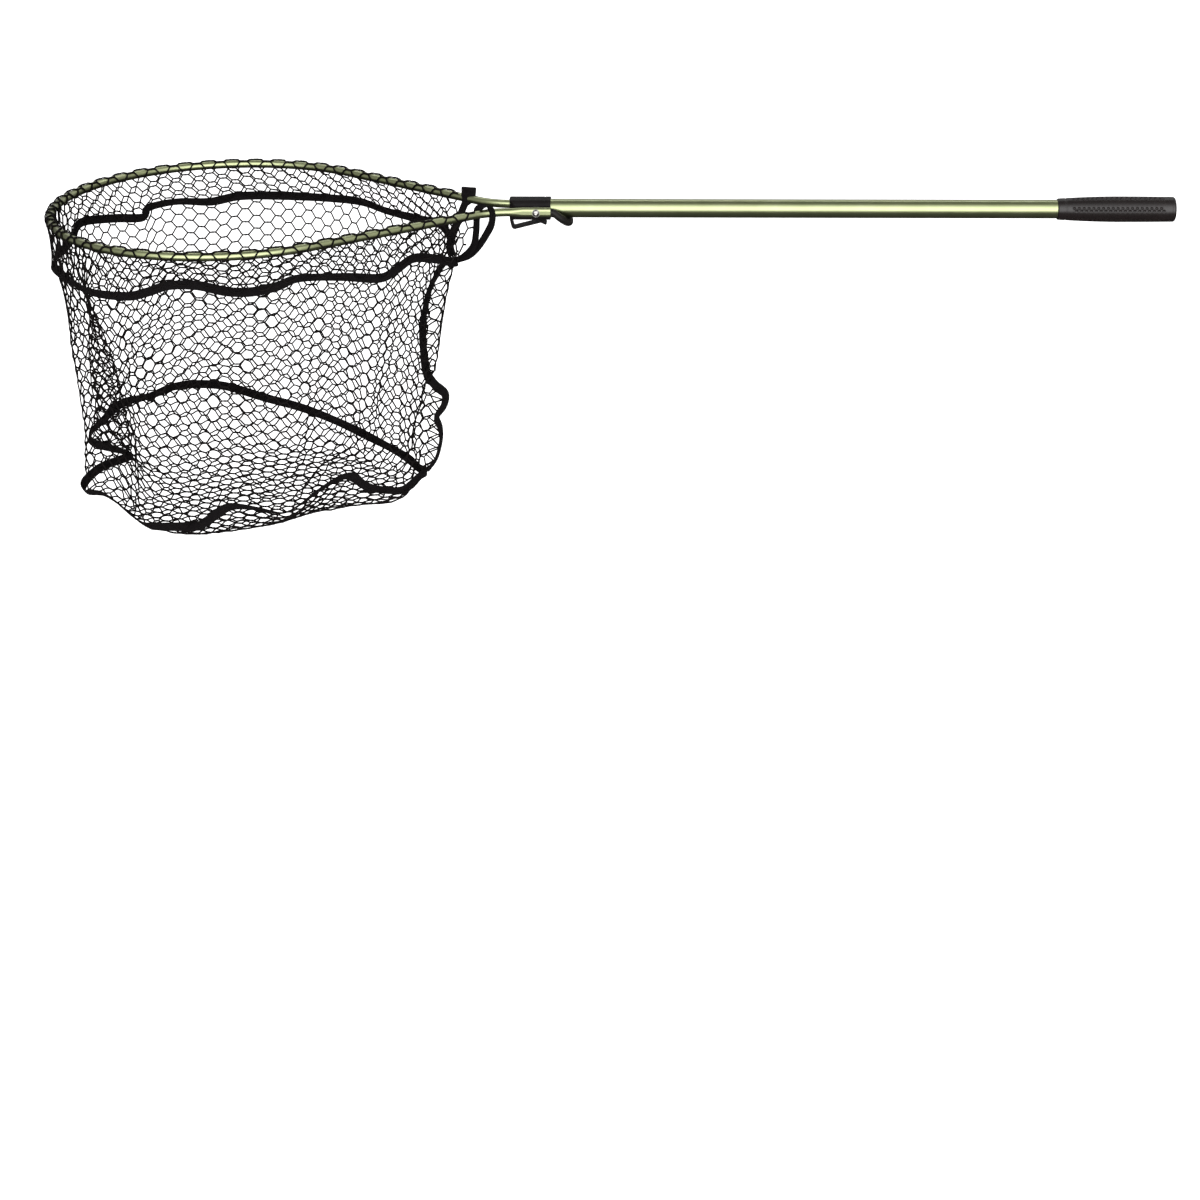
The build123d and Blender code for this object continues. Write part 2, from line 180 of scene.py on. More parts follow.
def even(line, count, closed=False):
    """count evenly spaced points on a line of points."""
    ring = np.vstack((line, line[:1])) if closed else np.asarray(line, float)
    at = lengths_along(ring)
    wanted = np.linspace(0.0, at[-1], count + 1)[:-1] if closed else np.linspace(0, at[-1], count)
    return np.stack([np.interp(wanted, at, ring[:, k]) for k in range(3)], axis=1)


def along(line, shares):
    """Points at the given shares of an open line's length."""
    at = lengths_along(line)
    return np.stack([np.interp(shares * at[-1], at, line[:, k]) for k in range(3)], axis=-1)


def smooth(points, closed=False, step=3.0):
    """Evenly spaced points, about step apart, on a Catmull-Rom curve through the points."""
    p = np.asarray(points, float)
    if closed:
        p = np.vstack((p[-1:], p, p[:2]))
    else:
        p = np.vstack((2 * p[0] - p[1], p, 2 * p[-1] - p[-2]))
    t = np.linspace(0.0, 1.0, 25)[:-1, None]
    runs = []
    for a, b, c, d in zip(p, p[1:], p[2:], p[3:]):
        cubic = -a + 3 * b - 3 * c + d
        square = 2 * a - 5 * b + 4 * c - d
        runs.append(0.5 * (2 * b + (c - a) * t + square * t**2 + cubic * t**3))
    line = np.vstack(runs if closed else runs + [p[-2:-1]])
    total = lengths_along(line, closed)[-1]
    return even(line, max(8, int(round(total / step))), closed)


def softened(line, closed=False):
    """The line with its corners rounded. Open ends stay where they are."""
    if closed:
        return 0.25 * np.roll(line, 1, 0) + 0.5 * line + 0.25 * np.roll(line, -1, 0)
    soft = line.copy()
    soft[1:-1] = 0.25 * line[:-2] + 0.5 * line[1:-1] + 0.25 * line[2:]
    return soft


def nearest(line, point):
    """Number of the line's point that is nearest to a point."""
    return int(np.argmin(np.linalg.norm(line - point, axis=1)))


def tangents(line, closed=False):
    """Unit tangent at each point."""
    if closed:
        return unit(np.roll(line, -1, axis=0) - np.roll(line, 1, axis=0))
    return unit(np.gradient(line, axis=0))


def hoop_half_width(x):
    """Distance of the hoop's centreline from its axis at x."""
    run, rise = SIDE_END - SIDE_START
    side = SIDE_START[1] + (x - SIDE_START[0]) * rise / run
    tip = np.sqrt(np.maximum(TIP_R**2 - (x - TIP_CENTRE_X) ** 2, 0.0))
    throat = THROAT_CENTRE[1] - np.sqrt(
        np.maximum(THROAT_R**2 - (x - THROAT_CENTRE[0]) ** 2, 0.0)
    )
    return np.where(x < SIDE_END[0], tip, np.where(x < SIDE_START[0], side, throat))


def hoop_line(near_x, far_x, step=2.0):
    """The hoop's centreline from near_x on its -Y side, round the tip, to far_x on its +Y side."""
    tip_x = TIP_CENTRE_X - TIP_R
    turn = np.linspace(0.0, math.pi / 2, 60)
    xs = []
    for end in (near_x, far_x):
        straight = np.linspace(end, TIP_CENTRE_X, 90)[:-1]
        xs.append(np.concatenate((straight, TIP_CENTRE_X + (tip_x - TIP_CENTRE_X) * np.sin(turn))))
    near = np.stack((xs[0], -hoop_half_width(xs[0]), 0 * xs[0]), axis=1)
    far = np.stack((xs[1], hoop_half_width(xs[1]), 0 * xs[1]), axis=1)
    line = np.vstack((near, far[-2::-1]))
    return even(line, int(lengths_along(line)[-1] / step))


# ------------------------------------------------------------------------------ meshes
def ring_quads(rings, around, closed):
    """Quads of a tube of rings, with its end faces if it is open."""
    i = np.arange(rings if closed else rings - 1)[:, None]
    j = np.arange(around)[None, :]
    nxt, turn = (i + 1) % rings, (j + 1) % around
    quads = np.stack(
        np.broadcast_arrays(
            i * around + j, nxt * around + j, nxt * around + turn, i * around + turn
        ),
        axis=-1,
    ).reshape(-1, 4)
    if closed:
        return quads
    k = np.arange(around // 2 - 1)
    start = np.stack((k, k + 1, around - 2 - k, around - 1 - k), axis=1)
    end = (rings - 1) * around + start[:, ::-1]
    return np.vstack((quads, start, end))


def tube(line, normals, radius, sides, closed=False):
    """Vertices and quads of a round tube along a line."""
    way = tangents(line, closed)
    side = unit(np.cross(way, normals))
    up = np.cross(side, way)
    angle = np.linspace(0.0, 2 * math.pi, sides, endpoint=False)[None, :, None]
    radius = np.broadcast_to(radius, len(line))[:, None, None]
    ring = line[:, None, :] + radius * (
        np.cos(angle) * side[:, None, :] + np.sin(angle) * up[:, None, :]
    )
    return ring.reshape(-1, 3), ring_quads(len(line), sides, closed)


def stack(parts):
    """One vertex array and one quad array from several."""
    verts, quads, base = [], [], 0
    for v, q in parts:
        verts.append(v)
        quads.append(q + base)
        base += len(v)
    return np.vstack(verts), np.vstack(quads)


def linked(name, data):
    """A new object in the scene."""
    obj = bpy.data.objects.new(name, data)
    bpy.context.scene.collection.objects.link(obj)
    return obj


def piece(name, verts, quads, body, material, uvs=None, replaces=()):
    """A mesh object in the row frame that rides on a body."""
    mesh = bpy.data.meshes.new(name)
    mesh.vertices.add(len(verts))
    mesh.vertices.foreach_set("co", to_row(verts).ravel())
    mesh.loops.add(quads.size)
    mesh.loops.foreach_set("vertex_index", quads.ravel().astype(np.int32))
    mesh.polygons.add(len(quads))
    mesh.polygons.foreach_set("loop_start", np.arange(len(quads), dtype=np.int32) * 4)
    mesh.polygons.foreach_set("use_smooth", np.ones(len(quads), bool))
    mesh.update(calc_edges=True)
    if uvs is not None:
        mesh.uv_layers.new(name="UVMap").data.foreach_set("uv", uvs.ravel())
    mesh.validate()
    obj = linked(name, mesh)
    mesh.materials.append(material)
    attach(obj, body)
    if replaces:
        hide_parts(*replaces)


def band(line, normals, width=TAPE_WIDE, closed=False, around=16):
    """Vertices, quads and UVs in metres of a flat band with rounded edges along a line."""
    way = tangents(line, closed)
    normals = square_to(normals, way)
    across = np.cross(normals, way)
    turn = (np.arange(around) + 0.5) * 2 * math.pi / around
    u = np.sign(np.cos(turn)) * np.abs(np.cos(turn)) ** 0.5 * 0.5
    w = np.sign(np.sin(turn)) * np.abs(np.sin(turn)) ** 0.7 * 0.5
    width = np.broadcast_to(width, len(line))[:, None, None]
    ring = (
        line[:, None, :]
        + u[None, :, None] * width * across[:, None, :]
        + w[None, :, None] * TAPE_THICK * normals[:, None, :]
    )
    quads = ring_quads(len(line), around, closed)
    at = lengths_along(line, closed)
    row, col = quads // around, quads % around
    start = at[row]
    if closed:
        wrapped = (row == 0) & (row.max(axis=1, keepdims=True) == len(line) - 1)
        start = np.where(wrapped, at[-1], start)
    uvs = np.stack((start, u[col] * width.mean() + width.mean()), axis=-1) / 1000.0
    return ring.reshape(-1, 3), quads, uvs


def stack_bands(parts):
    """One vertex, quad and UV array from several bands."""
    verts, quads = stack([(v, q) for v, q, _ in parts])
    return verts, quads, np.vstack([uv for _, _, uv in parts])


# ------------------------------------------------------------------------------ netting
def relax(nodes, links, rest, weight, pinned, gravity, clear=None):
    """Twine held at its pinned nodes hangs under its own weight: stretch is resisted fully, slack a
    little, and the weak links between opposite corners keep the meshes open."""
    a, b = links.T
    free = (~pinned)[:, None].astype(float)
    total = np.bincount(a, weight, len(nodes)) + np.bincount(b, weight, len(nodes))
    total = np.maximum(total, 1e-9)[:, None]
    speed = np.zeros_like(nodes)
    for _ in range(RELAX_STEPS):
        speed = SPEED_KEPT * speed + gravity * free
        moved = nodes + speed
        for _ in range(RELAX_PASSES):
            gap = moved[b] - moved[a]
            length = np.maximum(np.linalg.norm(gap, axis=1), 1e-6)
            stretch = (length - rest) / length
            pull = weight * np.where(stretch > 0, 1.0, SLACK_STIFFNESS) * stretch * 0.5
            shift = gap * pull[:, None]
            change = np.zeros_like(nodes)
            for k in range(3):
                change[:, k] = np.bincount(a, shift[:, k], len(nodes)) - np.bincount(
                    b, shift[:, k], len(nodes)
                )
            moved += OVERSHOOT * change / total * free
            if clear is not None:
                moved = clear(moved)
        speed = np.clip(moved - nodes, -SPEED_LIMIT, SPEED_LIMIT)
        nodes = nodes + speed
    return nodes


def mesh_links(rows, joints, closed):
    """Pairs of nodes that twine joins, and the weak pairs that keep meshes open. Node numbers run by
    row, joint and end of joint."""
    number = np.arange(rows * joints * 2).reshape(rows, joints, 2)
    twine, weak = [], []

    def add(into, r0, i0, e0, r1, i1, e1, rest):
        if closed:
            i1 %= joints
        if 0 <= i1 < joints and r1 < rows:
            into.append((number[r0, i0, e0], number[r1, i1, e1], rest))

    joint_long = JOINT_SHARE * MESH_PERIOD
    leg_long = math.hypot((0.5 - JOINT_SHARE) * MESH_PERIOD, MESH_ROW)
    for r in range(rows):
        odd = r % 2
        for i in range(joints):
            add(twine, r, i, 0, r, i, 1, joint_long)
            add(twine, r, i, 1, r + 1, i + odd, 0, leg_long)
            add(twine, r, i, 0, r + 1, i - 1 + odd, 1, leg_long)
            for e in (0, 1):
                add(weak, r, i, e, r, i + 1, e, MESH_PERIOD)
                add(weak, r, i, e, r + 2, i, e, 2 * MESH_ROW)
            add(weak, r, i, 1, r, i + 1, 0, (1 - JOINT_SHARE) * MESH_PERIOD)
    return number, np.array(twine), np.array(weak)


def relaxed_net(nodes, closed, pinned, gravity, follow, seed, clear=None):
    """A rectangular net, relaxed from its first shape."""
    rows, joints = nodes.shape[:2]
    rng = np.random.default_rng(seed)
    _, twine_links, weak_links = mesh_links(rows, joints, closed)
    links = np.vstack((twine_links[:, :2], weak_links[:, :2])).astype(int)
    rest = np.concatenate((twine_links[:, 2], weak_links[:, 2]))
    flat = nodes.reshape(-1, 3)
    first = np.linalg.norm(flat[links[:, 0]] - flat[links[:, 1]], axis=1)
    rest = rest * (1 - follow) + first * follow
    rest[: len(twine_links)] *= rng.uniform(0.94, 1.07, len(twine_links))
    weight = np.concatenate((np.ones(len(twine_links)), np.full(len(weak_links), WEAK)))
    spread = rng.normal(0.0, 0.8, flat.shape)
    start = flat + spread * (~pinned.ravel())[:, None]
    out = relax(start, links, rest, weight, pinned.ravel(), gravity, clear)
    return out.reshape(nodes.shape)


def net_normals(nodes, closed):
    """Surface normal at each node of a rectangular net."""
    rows, joints = nodes.shape[:2]
    flat = nodes.reshape(rows, joints * 2, 3)
    if closed:
        round_way = np.roll(flat, -2, axis=1) - np.roll(flat, 2, axis=1)
    else:
        padded = np.concatenate((flat[:, :1], flat[:, :1], flat, flat[:, -1:], flat[:, -1:]), 1)
        round_way = padded[:, 4:] - padded[:, :-4]
    padded = np.concatenate((flat[:1], flat, flat[-1:]), axis=0)
    down_way = padded[2:] - padded[:-2]
    return unit(np.cross(round_way, down_way)).reshape(nodes.shape)


def yarn(ends, sides, normals, closed):
    """Centreline and normals of one yarn. It passes through joints, each given by its two ends, and
    twists once round the other yarn in each. sides says which side of a joint the yarn comes from."""
    first, last = ends[:, 0], ends[:, 1]
    way = unit(last - first)
    up = normals.mean(axis=1)
    up = square_to(up, way)
    out = np.cross(way, up) * sides[:, None]
    points, ups = [], []
    for t in (0.0, 0.25, 0.5, 0.75, 1.0):
        turn = 2 * math.pi * t
        lift = TWINE_OFFSET * (math.cos(turn) * out + math.sin(turn) * sides[:, None] * up)
        points.append(first + (last - first) * t + lift)
        ups.append(up)
    nxt = np.roll(points[0], -1, axis=0)
    nxt_up = np.roll(up, -1, axis=0)
    for t in (0.25, 0.5, 0.75):
        points.append(points[4] * (1 - t) + nxt * t)
        ups.append(up * (1 - t) + nxt_up * t)
    line = np.stack(points, axis=1).reshape(-1, 3)
    ups = np.stack(ups, axis=1).reshape(-1, 3)
    if not closed:
        line, ups = line[:-3], ups[:-3]
    return softened(line, closed), ups


def row_order(r):
    """The two rows that a yarn passes through by turns, and the side it comes to each of them from."""
    return ((r, 1.0), (r + 1, -1.0)) if r % 2 == 0 else ((r + 1, -1.0), (r, 1.0))


def net_yarns(nodes, closed, first_row, last_row, clear=None):
    """Tubes of the yarns of a rectangular net, each between a row of joints and the next."""
    normals = net_normals(nodes, closed)
    tubes = []
    for r in range(first_row, last_row):
        order = row_order(r)
        ends = np.stack([nodes[row] for row, _ in order], axis=1).reshape(-1, 2, 3)
        ups = np.stack([normals[row] for row, _ in order], axis=1).reshape(-1, 2, 3)
        sides = np.tile([side for _, side in order], nodes.shape[1])
        line, up = yarn(ends, sides, ups, closed)
        line = line if clear is None else clear(line)
        tubes.append(tube(line, up, TWINE_R, TWINE_SIDES, closed))
    return stack(tubes)


# ------------------------------------------------------------------------------ materials
def material(name, colour, rough, metallic=0.0, **sockets):
    """A Principled material; its even values are set on the shader's own sockets."""
    mat = bpy.data.materials.new(name)
    mat.use_nodes = True
    shader = mat.node_tree.nodes["Principled BSDF"]
    shader.inputs["Base Color"].default_value = (*colour, 1.0)
    shader.inputs["Roughness"].default_value = rough
    shader.inputs["Metallic"].default_value = metallic
    for key, value in sockets.items():
        shader.inputs[key.replace("_", " ")].default_value = value
    return mat


class Nodes:
    """Short calls for building one material's nodes."""

    def __init__(self, mat):
        self.tree = mat.node_tree
        self.shader = self.tree.nodes["Principled BSDF"]

    def new(self, kind, **values):
        node = self.tree.nodes.new(kind)
        for key, value in values.items():
            if key in node.inputs:
                self.put(node, key, value)
            elif key.replace("_", " ") in node.inputs:
                self.put(node, key.replace("_", " "), value)
            else:
                setattr(node, key, value)
        return node

    def put(self, node, key, value):
        if isinstance(value, bpy.types.NodeSocket):
            self.tree.links.new(value, node.inputs[key])
        else:
            node.inputs[key].default_value = value

    def place(self, scale=(1.0, 1.0, 1.0), uv=False):
        """Object coordinates in metres, or UVs, times a scale."""
        coordinates = self.new("ShaderNodeTexCoord")
        mapping = self.new("ShaderNodeMapping", Scale=scale)
        self.put(mapping, "Vector", coordinates.outputs["UV" if uv else "Object"])
        return mapping.outputs["Vector"]

    def noise(self, vector, scale, detail=3.0, rough=0.5):
        node = self.new("ShaderNodeTexNoise", Vector=vector, Scale=scale, Detail=detail)
        node.inputs["Roughness"].default_value = rough
        return node.outputs["Fac"]

    def cells(self, vector, scale):
        node = self.new("ShaderNodeTexVoronoi", Vector=vector, Scale=scale)
        return node.outputs["Distance"]

    def remap(self, value, low, high, to_low, to_high):
        node = self.new("ShaderNodeMapRange")
        for key, v in zip(
            ("Value", "From Min", "From Max", "To Min", "To Max"),
            (value, low, high, to_low, to_high),
        ):
            self.put(node, key, v)
        return node.outputs["Result"]

    def ramp(self, value, *stops):
        node = self.new("ShaderNodeValToRGB", Fac=value)
        elements = node.color_ramp.elements
        while len(elements) < len(stops):
            elements.new(0.5)
        for element, (place, colour) in zip(elements, stops):
            element.position = place
            element.color = (*colour, 1.0)
        return node.outputs["Color"]

    def sums(self, operation, a, b):
        node = self.new("ShaderNodeMath", operation=operation)
        self.put(node, 0, a)
        self.put(node, 1, b)
        return node.outputs["Value"]

    def bump(self, height, distance, strength=1.0, under=None):
        node = self.new("ShaderNodeBump", Height=height, Distance=distance, Strength=strength)
        if under is not None:
            self.put(node, "Normal", under)
        return node.outputs["Normal"]

    def set(self, key, value):
        self.put(self.shader, key, value)


def anodised():
    """Green anodised aluminium tube: satin gloss, faint draw lines and small scuffs."""
    coat = {"Coat_Weight": 1.0, "Coat_Roughness": 0.22, "Coat_IOR": 1.75}
    mat = material("anodised_green", (0.40, 0.44, 0.18), 0.32, 1.0, **coat)
    n = Nodes(mat)
    drawn = n.noise(n.place((6.0, 420.0, 420.0)), 9.0, 3.0, 0.6)
    cloud = n.noise(n.place(), 38.0, 4.0, 0.6)
    n.set(
        "Base Color",
        n.ramp(
            cloud,
            (0.30, (0.355, 0.400, 0.180)),
            (0.55, (0.395, 0.440, 0.210)),
            (0.75, (0.425, 0.465, 0.240)),
        ),
    )
    scuff = n.noise(n.place((60.0, 900.0, 900.0)), 3.0, 5.0, 0.7)
    n.set("Roughness", n.remap(n.sums("MULTIPLY", scuff, drawn), 0.15, 0.40, 0.28, 0.38))
    n.set("Normal", n.bump(drawn, 0.00002, 0.35))
    return mat


def moulded(name, colour, rough, grain, depth, speckle=0.06, gloss=0.22):
    """Black plastic with a spark-textured surface, a little lighter where it is rubbed."""
    mat = material(name, colour, rough, Specular_IOR_Level=gloss)
    n = Nodes(mat)
    spark = n.noise(n.place(), 1.0 / grain, 3.0, 0.65)
    wear = n.noise(n.place(), 45.0, 5.0, 0.6)
    worn = tuple(c * 1.35 for c in colour)
    light = tuple(min(1.0, c * 2.3 + 0.004) for c in colour)
    n.set("Base Color", n.ramp(wear, (0.38, colour), (0.62, worn), (0.8, light)))
    n.set("Roughness", n.remap(spark, 0.35, 0.65, rough - speckle, rough + speckle * 1.6))
    n.set("Normal", n.bump(spark, depth, 0.9))
    return mat


def leathery():
    """Soft black coating on the bow: fine pebbled skin."""
    mat = material("bow_skin", (0.006, 0.0052, 0.0048), 0.42, Specular_IOR_Level=0.2)
    n = Nodes(mat)
    pebble = n.cells(n.place(), 1100.0)
    fold = n.noise(n.place(), 180.0, 4.0, 0.6)
    n.set("Base Color", n.ramp(fold, (0.35, (0.005, 0.0045, 0.004)), (0.7, (0.012, 0.010, 0.009))))
    n.set("Roughness", n.remap(pebble, 0.0, 0.7, 0.58, 0.42))
    n.set("Normal", n.bump(n.sums("ADD", n.sums("MULTIPLY", pebble, 0.5), fold), 0.00022, 0.8))
    return mat


def steel(name, colour, rough):
    """Bright steel with turning marks and light smears."""
    mat = material(name, colour, rough, 1.0)
    n = Nodes(mat)
    marks = n.noise(n.place((1.0, 14.0, 1.0)), 260.0, 4.0, 0.6)
    smear = n.noise(n.place(), 420.0, 3.0, 0.55)
    n.set("Base Color", n.ramp(smear, (0.3, tuple(c * 0.86 for c in colour)), (0.7, colour)))
    n.set("Roughness", n.remap(smear, 0.3, 0.7, rough * 0.8, rough * 1.5))
    n.set("Normal", n.bump(marks, 0.00003, 0.5))
    return mat


def twine():
    """Black twisted nylon, slightly glossy, dustier in places."""
    mat = material("net_twine", (0.0045, 0.004, 0.004), 0.6, Specular_IOR_Level=0.04)
    n = Nodes(mat)
    fibre = n.noise(n.place(), 2600.0, 3.0, 0.6)
    patch = n.noise(n.place(), 30.0, 3.0, 0.6)
    n.set("Base Color", n.ramp(patch, (0.35, (0.004, 0.0035, 0.0035)), (0.7, (0.010, 0.008, 0.008))))
    n.set("Roughness", n.remap(fibre, 0.3, 0.7, 0.45, 0.68))
    n.set("Normal", n.bump(fibre, 0.00015, 0.8))
    return mat


def woven():
    """Black woven tape: ribs along and across it, laid out by the UVs, and light fuzz; painted shade
    darkens the weave's hollows.
    """
    mat = material("woven_tape", (0.0058, 0.0046, 0.005), 0.75, Specular_IOR_Level=0.04)
    n = Nodes(mat)
    place = n.place(uv=True)
    ribs = n.new("ShaderNodeTexWave", Vector=place, Scale=300.0, Distortion=0.6)
    ribs.bands_direction = "X"
    warp = n.new("ShaderNodeTexWave", Vector=place, Scale=420.0, Distortion=0.4)
    warp.bands_direction = "Y"
    weave = n.sums("MULTIPLY", ribs.outputs["Fac"], warp.outputs["Fac"])
    fuzz = n.noise(n.place(), 1500.0, 4.0, 0.65)
    height = n.sums("ADD", weave, n.sums("MULTIPLY", fuzz, 0.5))
    # Colour follows the weave's height: painted shade in the hollows between ribs, lighter on the rib
    # tops and fuzz.
    n.set(
        "Base Color",
        n.ramp(
            height,
            (0.25, (0.003, 0.0025, 0.0028)),
            (0.7, (0.008, 0.007, 0.0075)),
            (1.0, (0.020, 0.017, 0.018)),
        ),
    )
    n.set("Roughness", n.remap(fuzz, 0.3, 0.7, 0.62, 0.85))
    n.set("Normal", n.bump(height, 0.00035, 0.9))
    return mat


def foam():
    """Closed-cell foam of the plug inside the tube, with painted shade in each cell's hollow."""
    mat = material("plug_foam", (0.05, 0.05, 0.05), 0.9)
    n = Nodes(mat)
    cell = n.cells(n.place(), 900.0)
    # Colour follows the cell depth: painted shade darkens the hollows, and the cell rims are lighter.
    n.set("Base Color", n.ramp(cell, (0.1, (0.03, 0.03, 0.03)), (0.6, (0.07, 0.07, 0.07))))
    n.set("Normal", n.bump(cell, 0.0003, 0.8))
    return mat


GREEN = anodised()
HEAD = moulded("head_plastic", (0.0060, 0.0048, 0.0052), 0.44, 0.0008, 0.00022, 0.10, 0.10)
GRIP = moulded("grip_plastic", (0.0065, 0.0042, 0.0040), 0.30, 0.0006, 0.00006, 0.05, 0.55)
WASHER = moulded("washer_plastic", (0.010, 0.010, 0.010), 0.55, 0.0005, 0.00005)
BOW = leathery()
BOLT = steel("bolt_steel", (0.72, 0.70, 0.67), 0.20)
ROD = steel("rod_steel", (0.50, 0.49, 0.47), 0.32)
TWINE = twine()
TAPE = woven()
FOAM = foam()

NODE_MATERIALS = {
    "hoop_tube": GREEN,
    "handle_tube": GREEN,
    "bow_sleeve": BOW,
    "head": HEAD,
    "belt_clip": HEAD,
    "grip_cap": GRIP,
    "grip": GRIP,
    "pivot_bolt": BOLT,
    "pivot_nut": BOLT,
    "outer_washers": BOLT,
    "bow_core": ROD,
    "pivot_bush": ROD,
    "head_pin": ROD,
    "friction_washers": WASHER,
    "net_collar": TWINE,
    "net_wall": TWINE,
    "net_floor": TWINE,
    "rim_tape": TAPE,
    "floor_tape": TAPE,
    "back_seam_tape": TAPE,
    "throat_tape": TAPE,
    "strap_loops": TAPE,
    "tube_plug": FOAM,
}
for node_name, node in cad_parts.items():
    node.data.materials.clear()
    node.data.materials.append(NODE_MATERIALS[node_name])


# ------------------------------------------------------------------------------ the bag
RIM_INSET = 4.0
BAG_CENTRE = np.array((-300.0, 0.0, 0.0))


def rim_point(x, z, side):
    """A point of the rim tape, just inside the hoop on one side of the bag."""
    return (x, side * (float(hoop_half_width(float(x))) - RIM_INSET), z)


RIM_LOOP = (
    [THROAT_LOW, JUNCTION_NEAR]
    + [rim_point(x, z, -1) for x, z in RIM_NEAR_XZ]
    + list(RIM_TIP)
    + [rim_point(x, z, 1) for x, z in RIM_FAR_XZ]
    + [JUNCTION_FAR]
)
rim = smooth(RIM_LOOP, closed=True)
floor_loop = smooth(FLOOR_LOOP, closed=True)
seam = smooth(BACK_SEAM)


def closed_share(line, shares):
    """Points at shares of a closed line's length."""
    return along(np.vstack((line, line[:1])), np.mod(shares, 1.0))


def row_columns(rows, joints):
    """Column, in periods, of each node."""
    r = np.arange(rows)[:, None, None]
    i = np.arange(joints)[None, :, None]
    e = np.arange(2)[None, None, :]
    return i + 0.5 * (r % 2) + (e - 0.5) * JOINT_SHARE


def wall_nodes():
    """The bag's wall: from the rim tape down to the floor tape, gathered at the back seam."""
    column = row_columns(WALL_ROWS, WALL_JOINTS)
    share = column / WALL_JOINTS
    down = np.linspace(0.0, 1.0, WALL_ROWS)[:, None, None, None]
    down = np.broadcast_to(down, (*column.shape, 1))
    nodes = closed_share(rim, share) * (1 - down) + closed_share(floor_loop, share) * down
    out = unit((nodes - BAG_CENTRE) * (1, 1, 0))
    phase = share[..., None] * 2 * math.pi
    ripple = sum(
        size * np.sin(count * phase + twist * down + start)
        for size, count, twist, start in WALL_RIPPLES
    )
    waist = WAIST_ALL_ROUND + WAIST_AT_ENDS * np.abs(out[..., :1])
    belly = np.sin(math.pi * down)
    nodes = nodes + out * (ripple * WALL_RIPPLE * belly - waist * belly**WAIST_FULLNESS)
    pinned = np.zeros(column.shape, bool)
    pinned[0] = pinned[-1] = True
    at_seam = along(seam, down[::2, 0, 0, 0])
    for end, sign in ((0, -1), (1, 1)):
        nodes[::2, 0, end] = at_seam + np.array((0, -sign * SEAM_GAP, 0))
        pinned[::2, 0, end] = True
    return relaxed_net(nodes, True, pinned, GRAVITY, WALL_FOLLOW, SEED)


wall = wall_nodes()

hoop = hoop_line(-66.0, -86.0)
rim_open = rim[nearest(rim, JUNCTION_NEAR) :]
rim_open = rim_open[: nearest(rim_open, JUNCTION_FAR) + 1]


def clear_of_hoop(points):
    """Moves points that are inside the hoop tube, with room for the twine, out to its surface."""
    x, y, z = points.T
    half = np.abs(y)
    tip = np.hypot(x - TIP_CENTRE_X, y)
    side_way = unit(SIDE_END - SIDE_START)
    side_out = np.array((-side_way[1], side_way[0]))
    side_out = side_out if side_out[1] > 0 else -side_out
    from_side = (x - SIDE_START[0]) * side_out[0] + (half - SIDE_START[1]) * side_out[1]
    round_tip = x < SIDE_END[0]
    away = np.where(round_tip, tip - TIP_R, from_side)
    level = np.hypot(away, z)
    room = HOOP_R + TWINE_R + HOOP_CLEAR
    push = np.where(level < room, room / np.maximum(level, 1e-6) - 1.0, 0.0)
    tip_way = np.stack((x - TIP_CENTRE_X, y), axis=1) / np.maximum(tip, 1e-6)[:, None]
    side_dir = np.stack((np.full(len(x), side_out[0]), side_out[1] * np.sign(y)), axis=1)
    way = np.where(round_tip[:, None], tip_way, side_dir)
    moved = points.copy()
    moved[:, :2] += way * (away * push)[:, None]
    moved[:, 2] += z * push
    return moved


def collar_nodes():
    """The netting that wraps the hoop tube: up outside, over it, and down inside to the rim tape."""
    column = row_columns(COLLAR_ROWS, COLLAR_JOINTS)
    share = np.clip((column + JOINT_SHARE / 2) / (COLLAR_JOINTS - 0.25), 0.0, 1.0)
    low = along(rim_open, share)
    top = along(hoop, share)
    nudge = 0.002
    ahead = along(hoop, np.minimum(share + nudge, 1.0)) - along(hoop, np.maximum(share - nudge, 0.0))
    out = unit(np.cross(ahead, UP))
    out *= np.sign(np.sum(out * (top - BAG_CENTRE), axis=-1, keepdims=True))
    reach = HOOP_R + TWINE_R + COLLAR_CLEAR
    first, last = COLLAR_TUBE_ROWS
    nodes = np.zeros((*column.shape, 3))
    for r in range(COLLAR_ROWS):
        on_tube = min(max(r, first), last)
        turned = COLLAR_WRAP_DEGREES * (on_tube - first) / (last - first)
        turn = math.radians(COLLAR_FROM_DEGREES + turned)
        wrapped = top[r] + reach * (math.cos(turn) * out[r] + math.sin(turn) * UP)
        layer = 1.0 if r < first else -1.0
        edge = low[r] + out[r] * (COLLAR_EDGE_GAP * layer)
        t = r / first if r < first else (COLLAR_ROWS - 1 - r) / (COLLAR_ROWS - 1 - last)
        t = min(t, 1.0)
        bulge = math.sin(math.pi * t) * (COLLAR_BULGE * layer)
        nodes[r] = edge * (1 - t) + wrapped * t + out[r] * bulge
    pinned = np.zeros(column.shape, bool)
    pinned[0] = pinned[-1] = True
    pinned[first + 1 : last] = True
    pinned[:, 0, 0] = pinned[:, -1, 1] = True
    return relaxed_net(
        nodes, False, pinned, GRAVITY * 0.6, COLLAR_FOLLOW, SEED + 1, clear_of_hoop
    )


collar = collar_nodes()


def inside(points, loop):
    """Whether each x, y is inside a closed loop, by crossings."""
    x, y = points[..., 0, None], points[..., 1, None]
    x0, y0 = loop[:, 0], loop[:, 1]
    x1, y1 = np.roll(x0, -1), np.roll(y0, -1)
    spans = (y0 > y) != (y1 > y)
    slope = np.where(y1 == y0, 1e-9, y1 - y0)
    crosses = spans & (x < (x1 - x0) * (y - y0) / slope + x0)
    return crosses.sum(axis=-1) % 2 == 1


def loop_height(points, loop):
    """Height over the floor at x, y, spread in from the loop's own heights."""
    gap = np.linalg.norm(points[:, None, :2] - loop[None, :, :2], axis=2)
    pull = 1.0 / (gap + 2.0) ** 3
    return (pull * loop[None, :, 2]).sum(axis=1) / pull.sum(axis=1)


